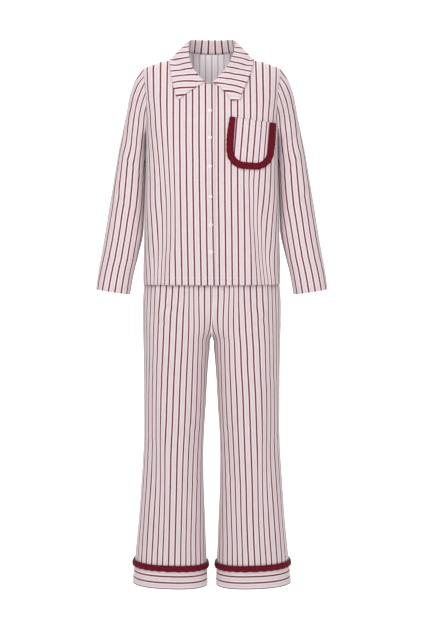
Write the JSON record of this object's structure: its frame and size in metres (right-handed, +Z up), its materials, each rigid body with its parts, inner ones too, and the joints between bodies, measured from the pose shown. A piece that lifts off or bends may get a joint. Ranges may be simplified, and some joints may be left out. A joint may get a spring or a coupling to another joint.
{
  "type": "pyjama set",
  "caption": "Striped pyjama set filled out as worn: long-sleeved button-front shirt with collar and frilled chest pocket, straight trousers with frilled leg cuffs.",
  "frame": {"origin": "between the shoulders at the height of the neck's foot, over the plane of the shirt's side seams, where a wearer's shoulders hold the shirt", "axes": "+Z up, -Y the garment's front, +X the wearer's left"},
  "size_m": [0.621, 0.2325, 1.4777],
  "materials": {
    "striped_cloth": "plain-woven cotton, off-white with narrow rust-red stripes between paler and greyer bands, matt",
    "collar_cloth": "the same striped cotton, two layers, pressed",
    "burgundy_trim": "gathered burgundy cotton, matt",
    "button": "white pearly plastic"
  },
  "bodies": {
    "root": {"front_right": "striped_cloth", "front_left": "striped_cloth", "back": "striped_cloth", "collar": "collar_cloth", "sleeve_right": "striped_cloth", "sleeve_left": "striped_cloth", "pocket": "striped_cloth", "pocket_ruffle": "burgundy_trim", "button_1": "button", "button_2": "button", "button_3": "button", "button_4": "button", "button_5": "button", "button_6": "button", "waistband": "striped_cloth", "trouser_front_right": "striped_cloth", "trouser_front_left": "striped_cloth", "trouser_back_right": "striped_cloth", "trouser_back_left": "striped_cloth", "leg_ruffle_right": "burgundy_trim", "leg_ruffle_left": "burgundy_trim", "cuff_right": "striped_cloth", "cuff_left": "striped_cloth"}
  },
  "joints": []
}
